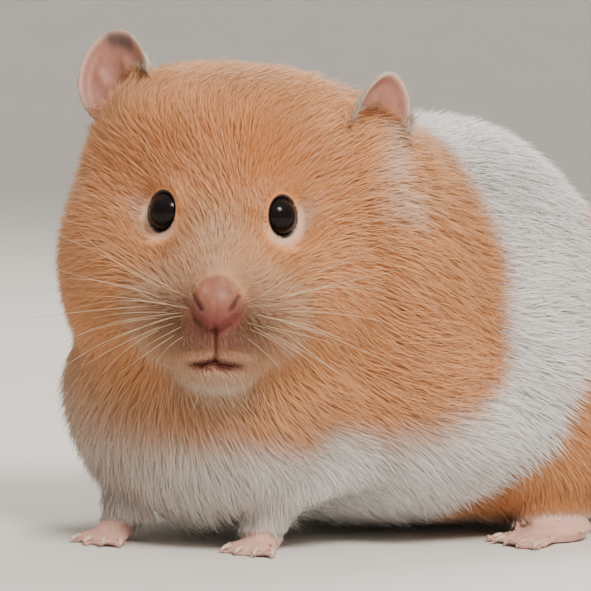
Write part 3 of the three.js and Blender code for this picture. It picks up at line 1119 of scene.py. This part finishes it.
def lie_of_coat(places, out, parts):
    """The direction in which the coat lies at each place, along the skin."""
    head = in_head(places)
    from_nose = unit(head - [0, -21, -13]) + np.array([0, 0.25, 0])
    from_nose[:, 2] -= 0.35 * rise(np.abs(head[:, 0]), 8, 22)
    on_head = rise(22 - distance(head, [0, 9, -6], [1.3, 1.2, 1.15]), -4, 5)
    height = places[:, 2]
    backward = np.zeros_like(places)
    backward[:, 1] = 1.0
    backward[:, 0] = 0.008 * places[:, 0]
    backward[:, 2] = -0.25 - 0.6 * rise(-height, -45, -12)
    chest = rise(-places[:, 1], 25, 50) * rise(-height, -48, -25)
    rump = rise(places[:, 1], 35, 60)
    backward = mixed(backward, [0, 0.35, -1], np.maximum(chest, rump) * 0.85)
    flow = mixed(backward, from_nose @ HEAD_AXES, on_head)

    legs = on_parts(parts, "leg") * rise(-height, -20, -10)
    flow = mixed(flow, [0.1, 0.1, -1], legs)
    for side, word in SIDES.items():
        ear_root = from_head([side * 20, 19, 9])
        flow = mixed(flow, unit(places - ear_root), on_parts(parts, "ear_" + word))
        away = places - EYES[side]
        near = bump(np.maximum(np.linalg.norm(away, axis=1) - 3.4, 0), 1.6)
        flow = mixed(flow, unit(away) + 0.5 * flow, near)
    turn = 0.35 * ripple(places, 16, 21) + 0.18 * ripple(places, 5, 22)
    flow = unit(flow - np.sum(flow * out, axis=1, keepdims=True) * out)
    return unit(flow + turn[:, None] * np.cross(out, flow))


def triangles_of(mesh):
    """The mesh's triangles, as their vertices, their loops and their areas."""
    mesh.calc_loop_triangles()
    corners = [read(mesh.loop_triangles, name, 3, np.int32) for name in ("vertices", "loops")]
    return *corners, read(mesh.loop_triangles, "area")


def scatter(areas, count, draw):
    """Draws triangles in proportion to their areas, and a random place in each. Returns the
    triangles' numbers and each place's shares of the three corners."""
    sums = np.cumsum(areas)
    spots = (np.arange(count) + draw.random(count)) / count * sums[-1]
    picked = np.minimum(np.searchsorted(sums, spots), len(areas) - 1)
    first = np.sqrt(draw.random(count))
    second = draw.random(count)
    return picked, np.column_stack([1 - first, first * (1 - second), first * second])


def gathered(root, tip, long, lock, draw):
    """The sideways pull that draws each tuft's tip towards the tip of the lock it belongs to."""
    leaders = np.sort(draw.choice(len(root), max(len(root) // lock, 1), replace=False))
    tree = KDTree(len(leaders))
    for number, leader in enumerate(leaders):
        tree.insert(root[leader], number)
    tree.balance()
    nearest = np.array([tree.find(place)[1] for place in root])
    pull = tip[leaders[nearest]] - tip
    size = np.linalg.norm(pull, axis=1)
    share = np.minimum(1.0, 0.3 * long / np.maximum(size, 1e-9))
    return pull * (share * draw.uniform(0.0, 0.32, len(root)))[:, None]


# The two kinds of tufts: their shape as sides and rings, their length for each millimetre of the
# coat's depth and the least, how steeply they rise at the root and at the tip in degrees, their
# width for each millimetre of length and the least, and how many make a lock.
CURVED = {
    "sides": 3, "rings": 2, "growth": 1.85, "least": 0.8, "rising": 40, "ending": 9,
    "widening": 0.014, "thin": 0.09, "lock": 9,
}
STRAIGHT = {
    "sides": 3, "rings": 1, "growth": 1.5, "least": 0.7, "rising": 27, "ending": 27,
    "widening": 0.016, "thin": 0.085, "lock": 0,
}


LONG_SHARE = 0.04  # share of tufts that are longer than the rest
LONG_FACTOR = 1.25

# How far single tufts stray from their kind, as a spread or as the least and largest factor.
LIE_SPREAD = 0.2
LENGTH_FACTORS = (0.75, 1.15)
RISING_FACTORS = (0.7, 1.25)
ENDING_FACTORS = (0.4, 1.6)
WIDTH_FACTORS = (0.8, 1.2)
LIGHT_SPREAD = 0.055


def raised(lie, out, angles):
    """Directions along the skin, raised from it by these angles."""
    return lie * np.cos(angles)[:, None] + out * np.sin(angles)[:, None]


def grow_coat(skin, areas, count, kind, draw, coat):
    """Places the tufts of one kind on one part of the coat."""
    picked, shares = scatter(areas, count, draw)
    verts = skin["triangles"][picked]

    def at(values):
        return np.einsum("nk,nk...->n...", shares, values[verts])

    root = at(skin["places"])
    out = unit(at(skin["normals"]))
    part = skin["parts"][verts[:, 0]]
    lie = lie_of_coat(root, out, part)
    lie = unit(lie + draw.normal(0, LIE_SPREAD, count)[:, None] * np.cross(out, lie))
    depth = at(skin["depth"])
    long = kind["growth"] * depth + kind["least"] * rise(depth, -0.2, 0.8)
    long = long * draw.uniform(*LENGTH_FACTORS, count)
    long = long * np.where(draw.random(count) < LONG_SHARE, LONG_FACTOR, 1.0)
    lift = 1 + 0.2 * ripple(root, 7, 31)
    rising = np.radians(kind["rising"]) * draw.uniform(*RISING_FACTORS, count) * lift
    ending = np.radians(kind["ending"]) * draw.uniform(*ENDING_FACTORS, count)
    ending = ending if kind["rings"] > 1 else rising
    start = raised(lie, out, rising)
    end = raised(lie, out, ending)
    tip = root + long[:, None] * (start + end) / 2
    lock = kind["lock"]
    pull = gathered(root, tip, long, lock, draw) if lock else np.zeros_like(root)

    tint = tuft_colour(root, part, coat)
    light = draw.normal(1.0, LIGHT_SPREAD, count) + 0.05 * ripple(root, 6, 41)
    tint = tint * light[:, None]
    wide = kind["widening"] * long + kind["thin"]
    strands = {
        "root": root - out * ROOT_SUNK,
        "start": start,
        "end": end,
        "out": out,
        "length": long,
        "width": wide * draw.uniform(*WIDTH_FACTORS, count),
        "pull": pull,
        "ease": np.where(on_parts(part, "ear", "foot"), 0.15, 0.5 + 0.5 * rise(long, 1.0, 3.0)),
        # painted shade at each tuft's root and painted light at its tip
        "dark": tint * coat.root_shade,
        "light": tint * coat.tip_shade,
        "map": np.einsum("nk,nkd->nd", shares, skin["map"][skin["loops"][picked]]),
    }
    chosen = clear_of_eyes(strands)
    return {name: values[chosen] for name, values in strands.items()}


# The spaces before each eye that no tuft enters: how wide each is beside the line along which
# the eye looks, and its near and far end on that line, from the eye's middle.
EYE_SPACES = ((3.3, 0.0, 6.5), (4.8, 1.8, 6.5))


def clear_of_eyes(strands):
    """Which strands stay clear of the open part of the eyes."""
    lines = middle_lines(strands, (0.35, 0.7, 1.0))
    inside = np.zeros(lines.shape[:2], bool)
    for side in EYES:
        beside, along = from_look(lines, side)
        for width, near, far in EYE_SPACES:
            inside |= (beside < width) & (along > near) & (along < far)
    return ~inside.any(axis=1)


def tuft_colour(places, parts, coat):
    """The coat's colour, with the pale hairs of the ears and feet."""
    tint = coat_colour(places, coat)
    for side, cover in ((1, 0.9), (-1, 0.6)):
        here = in_ear(places, side)
        mine = on_parts(parts, "ear_" + SIDES[side])
        tint = mixed(tint, np.array(coat.golden) * 0.85, mine * 0.8)
        edge = rise(np.hypot(here[:, 0], here[:, 2]), 0.72, 0.92) * rise(here[:, 2], -0.6, -0.1)
        inner = rise(-here[:, 0], 0.3, 0.7) * rise(here[:, 2], -0.4, 0.1)
        tint = mixed(tint, coat.cream, mine * np.maximum(edge * cover, inner * 0.9))
    return mixed(tint, coat.cream, on_parts(parts, "foot", "tail"))


def unwrap_skin(skin):
    """Unwraps the skin's own shape on the map that the coat shares."""
    skin.data.uv_layers.new(name="OFBake")
    bpy.ops.object.select_all(action="DESELECT")
    skin.select_set(True)
    bpy.context.view_layer.objects.active = skin
    bpy.ops.object.mode_set(mode="EDIT")
    bpy.ops.mesh.select_all(action="SELECT")
    bpy.ops.uv.smart_project(angle_limit=1.15, island_margin=0.002, scale_to_bounds=True)
    bpy.ops.object.mode_set(mode="OBJECT")


# The parts of the body's coat, from the first Y to the second.
BODY_CUTS = (("shoulder", -99, -24), ("band", -24, 6), ("loin", 6, 32), ("rump", 32, 99))


def coat_zones(places, parts):
    """The parts of the coat: for each name, where on the skin's vertices it grows."""
    head = in_head(places)
    ears = on_parts(parts, "ear")
    feet = on_parts(parts, "foot", "tail")
    on_head = on_parts(parts, "head", "lower_jaw", "nose")
    zones = {}
    muzzle = head[:, 1] < -3
    low = head[:, 2] < 0
    cuts = (("muzzle", muzzle), ("cheek", ~muzzle & low), ("crown", ~muzzle & ~low))
    for word, side in (("left", head[:, 0] >= 0), ("right", head[:, 0] < 0)):
        for name, inside in cuts:
            zones[name + "_" + word] = on_head & side & inside
    body = ~(on_head | ears | feet)
    for word, side in (("left", places[:, 0] >= 3), ("right", places[:, 0] < 3)):
        for name, front, rear in BODY_CUTS:
            inside = (places[:, 1] >= front) & (places[:, 1] < rear)
            zones[name + "_" + word] = body & side & inside
    zones["ears"] = ears
    zones["feet"] = feet
    return zones


def ear_cover(places, normals, parts):
    """The share of hairs that grows on the ears: the inside is nearly bare but for its edges."""
    share = np.ones(len(places))
    for side, bare in ((1, 0.35), (-1, 0.88)):
        here = in_ear(places, side)
        mine = on_parts(parts, "ear_" + SIDES[side])
        inside = rise(-(normals @ ear_axes(side)[1]), -0.2, 0.4)
        open_skin = inside * rise(here[:, 0], -0.6, -0.2) * rise(-np.abs(here[:, 2]), -0.95, -0.8)
        share = np.where(mine, 1 - bare * open_skin, share)
    return share


def skin_fields(mesh):
    """What tufts need of the skin: its triangles, and the values at its vertices and loops."""
    triangles, loops, areas = triangles_of(mesh)
    stored = {name: read(mesh.attributes[name].data, "value") for name in ("depth", "part", "bald")}
    return {
        "triangles": triangles,
        "loops": loops,
        "areas": areas,
        "places": places_of(mesh),
        "normals": normals_of(mesh),
        "depth": stored["depth"],
        "bald": stored["bald"],
        "parts": stored["part"].round().astype(int),
        "map": read(mesh.uv_layers["OFBake"].uv, "vector", 2),
    }


SPARSE = {"ears": 0.7, "feet": 0.15}  # share of hairs where skin shows through


def growing_areas(skin):
    """For each part of the coat, the areas of the skin's triangles, each larger where the tufts
    stand closer together."""
    thickness = np.maximum(skin["depth"] + 0.35, 0.5)
    crowding = (1 - skin["bald"]) / thickness**1.25
    crowding = crowding * ear_cover(skin["places"], skin["normals"], skin["parts"])
    areas = {}
    for name, zone in coat_zones(skin["places"], skin["parts"]).items():
        weight = zone * crowding * SPARSE.get(name, 1.0)
        areas[name] = skin["areas"] * weight[skin["triangles"]].mean(axis=1)
    return areas


class HAMSTER_OT_coat(bpy.types.Operator):
    """Grow the coat as joined meshes of tufts that follow the lie of the hair"""

    bl_idname = "hamster.coat"
    bl_label = "Coat"

    def execute(self, context):
        coat = context.scene.hamster_coat
        piece = bpy.data.objects["skin"]
        unwrap_skin(piece)
        skin = skin_fields(piece.data)
        areas = growing_areas(skin)
        whole = sum(part.sum() for part in areas.values())
        draw = np.random.default_rng(coat.seed)
        material = coat_material()
        fewer = 1
        for word, kind, total in (
            ("coat", CURVED, coat.curved),
            ("undercoat", STRAIGHT, coat.straight),
        ):
            template = strand_template(kind["sides"], kind["rings"])
            for name, part in areas.items():
                count = int(total / fewer * part.sum() / whole)
                strands = grow_coat(skin, part, count, kind, draw, coat)
                made = strand_mesh(word + "_" + name, template, strands)
                finish_tufts(made, template, strands)
                linked(word + "_" + name, made, material)
        return {"FINISHED"}


# ---- Eyes --------------------------------------------------------------------------------------


def eye_material(settings):
    """A black, wet eyeball: a dark, slightly brown ball under a clear coat."""
    material, tree, shader = new_material("hamster eye")
    colour_by_noise(tree, shader, 500, settings.black, 1.6)
    set_inputs(shader, {"Roughness": 0.25, "Specular IOR Level": 0.05})
    set_inputs(shader, {"Coat Weight": 0.2, "Coat Roughness": 0.03})
    return material


class HAMSTER_OT_eyes(bpy.types.Operator):
    """Make the two round eyeballs that stand for the solid ones"""

    bl_idname = "hamster.eyes"
    bl_label = "Eyes"

    def execute(self, context):
        settings = context.scene.hamster_eyes
        material = eye_material(settings)
        for side, word in SIDES.items():
            ball = bmesh.new()
            bmesh.ops.create_uvsphere(ball, u_segments=48, v_segments=32, radius=settings.radius)
            bmesh.ops.translate(ball, verts=ball.verts, vec=Vector(EYES[side] * MM))
            mesh = bpy.data.meshes.new("eyeball_" + word)
            ball.to_mesh(mesh)
            ball.free()
            smooth_shaded(mesh)
            piece = linked("eyeball_" + word, mesh, material)
            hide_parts("eye_" + word)
        return {"FINISHED"}


# ---- Whiskers and claws ------------------------------------------------------------------------

WHISKER_ROWS = 5
WHISKERS_IN_ROW = 5
WHISKER_SUNK = 0.4  # how deep a whisker is rooted in the skin

# Single whiskers over the eyes and under the chin, as (sideways, up) in the head's frame and the
# share of the longest.
BROW_WHISKERS = (((8.6, 5.6), 0.5), ((10.4, 4.9), 0.4))
CHIN_WHISKERS = (((2.2, -27.2), 0.28), ((4.4, -27.2), 0.28))

# How far single whiskers stray from the plan: their roots, their two directions and the least
# and largest factor of their length.
ROOT_JITTER = 0.4
START_JITTER = 0.08
END_JITTER = 0.14
WHISKER_FACTORS = (0.85, 1.08)

# Where the feet stand on the floor, and the degrees that each turns to the left.
FEET = (
    {"kind": "fore", "spot": (22.4, -38.2), "turn": 36},
    {"kind": "fore", "spot": (4.4, -57.2), "turn": 34},
    {"kind": "hind", "spot": (29.4, 14.8), "turn": 8},
    {"kind": "hind", "spot": (-33.6, 14.8), "turn": -10},
)
FOOT_KINDS = {
    "fore": {"length": 10, "width": 7, "toes": 4, "fan": 46},
    "hind": {"length": 18, "width": 7.6, "toes": 5, "fan": 40},
}


def rooted(tree, sideways, up):
    """The place on the front of the skin at this far sideways and up in the head's frame."""
    start = from_head([sideways, -40.0, up])
    hit = tree.ray_cast(Vector(start * MM), Vector(HEAD_BACK))[0]
    return np.array(hit) / MM


def whisker_plan(settings):
    """Each whisker's root as (sideways, up), its two directions in the head's frame and its
    length in millimetres, for one side of the head. The rear ones are longest."""
    longest = settings.longest / MM
    plan = []
    for row in range(WHISKER_ROWS):
        fan = 0.42 - 0.2 * row
        for place in range(WHISKERS_IN_ROW):
            rear = place / (WHISKERS_IN_ROW - 1)
            root = (5.0 + 5.2 * rear, -12.9 - 1.55 * row + 1.2 * rear)
            start = (0.75 + 0.15 * rear, -0.75 + 0.65 * rear, fan)
            end = (0.8, 0.1 + 0.5 * rear, fan * 1.5 - 0.22)
            plan.append((root, start, end, longest * (0.4 + 0.6 * rear)))
    for root, share in BROW_WHISKERS:
        plan.append((root, (0.55, -0.6, 0.55), (0.7, 0.1, 0.75), longest * share))
    for root, share in CHIN_WHISKERS:
        plan.append((root, (0.2, -0.75, -0.5), (0.3, -0.2, -1), longest * share))
    return plan


def bristles(root, start, end, length, width):
    """Strands of horn, which form no locks and have one colour."""
    count = len(root)
    return {
        "root": root,
        "start": start,
        "end": end,
        "out": np.tile(HEAD_UP, (count, 1)),
        "length": length,
        "width": width,
        "pull": np.zeros((count, 3)),
    }


class HAMSTER_OT_whiskers(bpy.types.Operator):
    """Set the whiskers in rows on both sides of the muzzle, with a few over the eyes"""

    bl_idname = "hamster.whiskers"
    bl_label = "Whiskers"

    def execute(self, context):
        settings = context.scene.hamster_hair
        skin = bmesh.new()
        skin.from_mesh(bpy.data.objects["skin"].data)
        tree = BVHTree.FromBMesh(skin)
        skin.free()
        draw = np.random.default_rng(context.scene.hamster_coat.seed + 1)
        root, start, end, long = [], [], [], []
        for side in EYES:
            mirror = np.array([side, 1, 1])
            for spot, first, last, reach in whisker_plan(settings):
                sideways, up = spot + draw.normal(0, ROOT_JITTER, 2)
                first = first * mirror + draw.normal(0, START_JITTER, 3)
                last = last * mirror + draw.normal(0, END_JITTER, 3)
                root.append(rooted(tree, side * sideways, up))
                start.append(unit(first) @ HEAD_AXES)
                end.append(unit(last) @ HEAD_AXES)
                long.append(reach * draw.uniform(*WHISKER_FACTORS))
        root, start, end, long = (np.array(values) for values in (root, start, end, long))
        widths = settings.whisker_width / MM * (0.5 + 0.5 * long / (settings.longest / MM))
        strands = bristles(root - WHISKER_SUNK * start, start, end, long, widths)
        mesh = strand_mesh("whiskers", strand_template(5, 12), strands)
        linked("whiskers", mesh, horn_material("whisker", settings.whisker, 0.4))
        return {"FINISHED"}


def claw_places():
    """The root and the forward direction of every claw, in the row's frame."""
    for foot in FEET:
        kind = FOOT_KINDS[foot["kind"]]
        turn = Matrix.Rotation(math.radians(foot["turn"]), 3, "Z")
        for i in range(kind["toes"]):
            place = i / (kind["toes"] - 1) - 0.5
            spread = math.radians(place * kind["fan"])
            reach = kind["length"] * (0.36 - 0.3 * place**2) + 0.5
            forward = Vector((math.sin(spread), -math.cos(spread), 0))
            tip = Vector((place * kind["width"] * 0.72, kind["length"] * 0.18, 1.05))
            tip = turn @ (tip + forward * reach)
            yield np.array(tip) + [*foot["spot"], 0], np.array(turn @ forward)


class HAMSTER_OT_claws(bpy.types.Operator):
    """Set a small curved claw on every toe"""

    bl_idname = "hamster.claws"
    bl_label = "Claws"

    def execute(self, context):
        settings = context.scene.hamster_hair
        roots, forward = (np.array(part) for part in zip(*claw_places()))
        rising = unit(forward + [0, 0, 0.2])
        falling = unit(forward + [0, 0, -0.75])
        long = np.full(len(roots), settings.claw_length / MM)
        wide = np.full(len(roots), settings.claw_width / MM)
        strands = bristles(roots, rising, falling, long, wide)
        mesh = strand_mesh("claws", strand_template(10, 8), strands)
        linked("claws", mesh, horn_material("claw", settings.claw, 0.3))
        return {"FINISHED"}


# ---- The stage ---------------------------------------------------------------------------------


def floor_material(settings):
    material, tree, shader = new_material("studio floor")
    colour_by_noise(tree, shader, 30, settings.floor, 0.96, 3.0)
    set_inputs(shader, {"Roughness": 0.85})
    return material


def view_axes(settings):
    """Right, up and back of the view, with its roll."""
    azimuth = settings.azimuth
    elevation = settings.elevation
    back = Vector(
        (
            math.sin(azimuth) * math.cos(elevation),
            -math.cos(azimuth) * math.cos(elevation),
            math.sin(elevation),
        )
    )
    right = Vector((math.cos(azimuth), math.sin(azimuth), 0))
    up = back.cross(right)
    roll = settings.roll
    turned = right * math.cos(roll) + up * math.sin(roll)
    return turned, up * math.cos(roll) - right * math.sin(roll), back


BOWL_RADIUS = 1.7  # radius of the bowl's flat floor, in metres
BOWL_FILLET = 0.9
BOWL_HEIGHT = 2.4
BOWL_STEPS = 12  # steps in which the floor turns up into the wall
SENSOR_WIDTH = 36  # millimetres

# Where each light stands from the eyes along the view's back and right, its size in metres and
# its colour. Its strength is set as key_power or rim_power.
LIGHTS = {
    "key": {"back": 0.55, "right": 0.3, "size": 0.3, "tint": (1.0, 0.95, 0.89)},
    "rim": {"back": -0.55, "right": 0.25, "size": 0.4, "tint": (1.0, 0.96, 0.9)},
}
LIGHTS_RISE = Vector((0, 0, 0.62))  # how high they stand over the eyes
LIGHTS_AIM = Vector((0.01, -0.02, 0.04))


def bowl_mesh():
    """A round floor that turns up into a wall, with no corner and no skyline."""
    rim = Vector((BOWL_RADIUS, 0, 0))
    profile = [Vector((0, 0, 0)), Vector((0.5, 0, 0)), rim]
    for step in range(1, BOWL_STEPS + 1):
        turned = math.radians(90 * step / BOWL_STEPS)
        profile.append(rim + Vector((math.sin(turned), 0, 1 - math.cos(turned))) * BOWL_FILLET)
    profile.append(Vector((BOWL_RADIUS + BOWL_FILLET, 0, BOWL_HEIGHT)))
    work = bmesh.new()
    verts = [work.verts.new(place) for place in profile]
    edges = [work.edges.new(pair) for pair in zip(verts, verts[1:])]
    bmesh.ops.spin(
        work, geom=verts + edges, cent=(0, 0, 0), axis=(0, 0, 1), angle=2 * math.pi, steps=72,
        use_merge=True,
    )
    bmesh.ops.remove_doubles(work, verts=work.verts, dist=1e-5)
    bmesh.ops.recalc_face_normals(work, faces=work.faces)
    bmesh.ops.reverse_faces(work, faces=work.faces)
    mesh = bpy.data.meshes.new("studio_bowl")
    work.to_mesh(mesh)
    work.free()
    smooth_shaded(mesh)
    return mesh


def add_camera(settings, eyes):
    """Stands the camera so that the eyes fall on their place in the picture."""
    right, up, back = view_axes(settings)
    camera = bpy.data.cameras.new("camera")
    camera.sensor_width = SENSOR_WIDTH
    camera.lens = settings.focal
    camera.clip_start = 0.01
    camera.clip_end = 20
    per_pixel = SENSOR_WIDTH / settings.focal / IMAGE_SIZE * settings.distance
    beside = (EYES_IN_IMAGE[0] - IMAGE_SIZE / 2) * per_pixel
    above = (EYES_IN_IMAGE[1] - IMAGE_SIZE / 2) * per_pixel
    place = eyes + back * settings.distance - right * beside + up * above
    holder = add_object("camera", camera)
    holder.matrix_world = (
        Matrix.Translation(place) @ Matrix((right, up, back)).transposed().to_4x4()
    )
    bpy.context.scene.camera = holder


def add_lights(settings, eyes):
    """Stands soft round lights round the animal, which shine at its middle."""
    right, _, back = view_axes(settings)
    for name, light in LIGHTS.items():
        lamp = bpy.data.lights.new(name, "AREA")
        lamp.shape = "DISK"
        lamp.size = light["size"]
        lamp.energy = getattr(settings, name + "_power")
        lamp.color = light["tint"]
        holder = add_object(name, lamp)
        holder.location = eyes + back * light["back"] + right * light["right"] + LIGHTS_RISE
        aim = LIGHTS_AIM - holder.location
        holder.rotation_euler = aim.to_track_quat("-Z", "Y").to_euler()


def add_world(settings):
    """Lights the scene evenly from all round."""
    world = bpy.data.worlds.new("studio")
    world.use_nodes = True
    sky = {"Color": (*settings.sky, 1), "Strength": settings.sky_strength}
    set_inputs(world.node_tree.nodes["Background"], sky)
    bpy.context.scene.world = world


class HAMSTER_OT_stage(bpy.types.Operator):
    """Set up the pale floor, the soft lights and the camera"""

    bl_idname = "hamster.stage"
    bl_label = "Stage"

    def execute(self, context):
        settings = context.scene.hamster_stage
        eyes = Vector(EYE_MIDDLE * MM)
        add_camera(settings, eyes)

        mesh = bowl_mesh()
        mesh.materials.append(floor_material(settings))
        ground = add_object("studio_bowl", mesh)

        add_world(settings)
        add_lights(settings, eyes)
        return {"FINISHED"}


# ---- Panel and registration --------------------------------------------------------------------

OPERATORS = [
    HAMSTER_OT_stage,
    HAMSTER_OT_skin,
    HAMSTER_OT_eyes,
    HAMSTER_OT_coat,
    HAMSTER_OT_whiskers,
    HAMSTER_OT_claws,
]
SETTINGS = {
    "hamster_skin": HamsterSkinSettings,
    "hamster_coat": HamsterCoatSettings,
    "hamster_eyes": HamsterEyeSettings,
    "hamster_hair": HamsterHairSettings,
    "hamster_stage": HamsterStageSettings,
}


class HAMSTER_PT_panel(bpy.types.Panel):
    """Lists the hamster's pieces and their settings"""

    bl_idname = "HAMSTER_PT_panel"
    bl_label = "Syrian Hamster"
    bl_space_type = "VIEW_3D"
    bl_region_type = "UI"
    bl_category = "Hamster"

    def draw(self, context):
        for operator in OPERATORS:
            self.layout.operator(operator.bl_idname)
        for name, group in SETTINGS.items():
            box = self.layout.box()
            box.label(text=group.__doc__)
            for prop in group.__annotations__:
                box.prop(getattr(context.scene, name), prop)


CLASSES = [*SETTINGS.values(), *OPERATORS, HAMSTER_PT_panel]


def register():
    for made in CLASSES:
        bpy.utils.register_class(made)
    for name, group in SETTINGS.items():
        setattr(bpy.types.Scene, name, PointerProperty(type=group))


def unregister():
    for name in SETTINGS:
        delattr(bpy.types.Scene, name)
    for made in reversed(CLASSES):
        bpy.utils.unregister_class(made)


def main():
    """Builds everything in order."""
    register()
    for operator in OPERATORS:
        getattr(bpy.ops.hamster, operator.bl_idname.split(".")[1])()


if __name__ == "__main__":
    main()
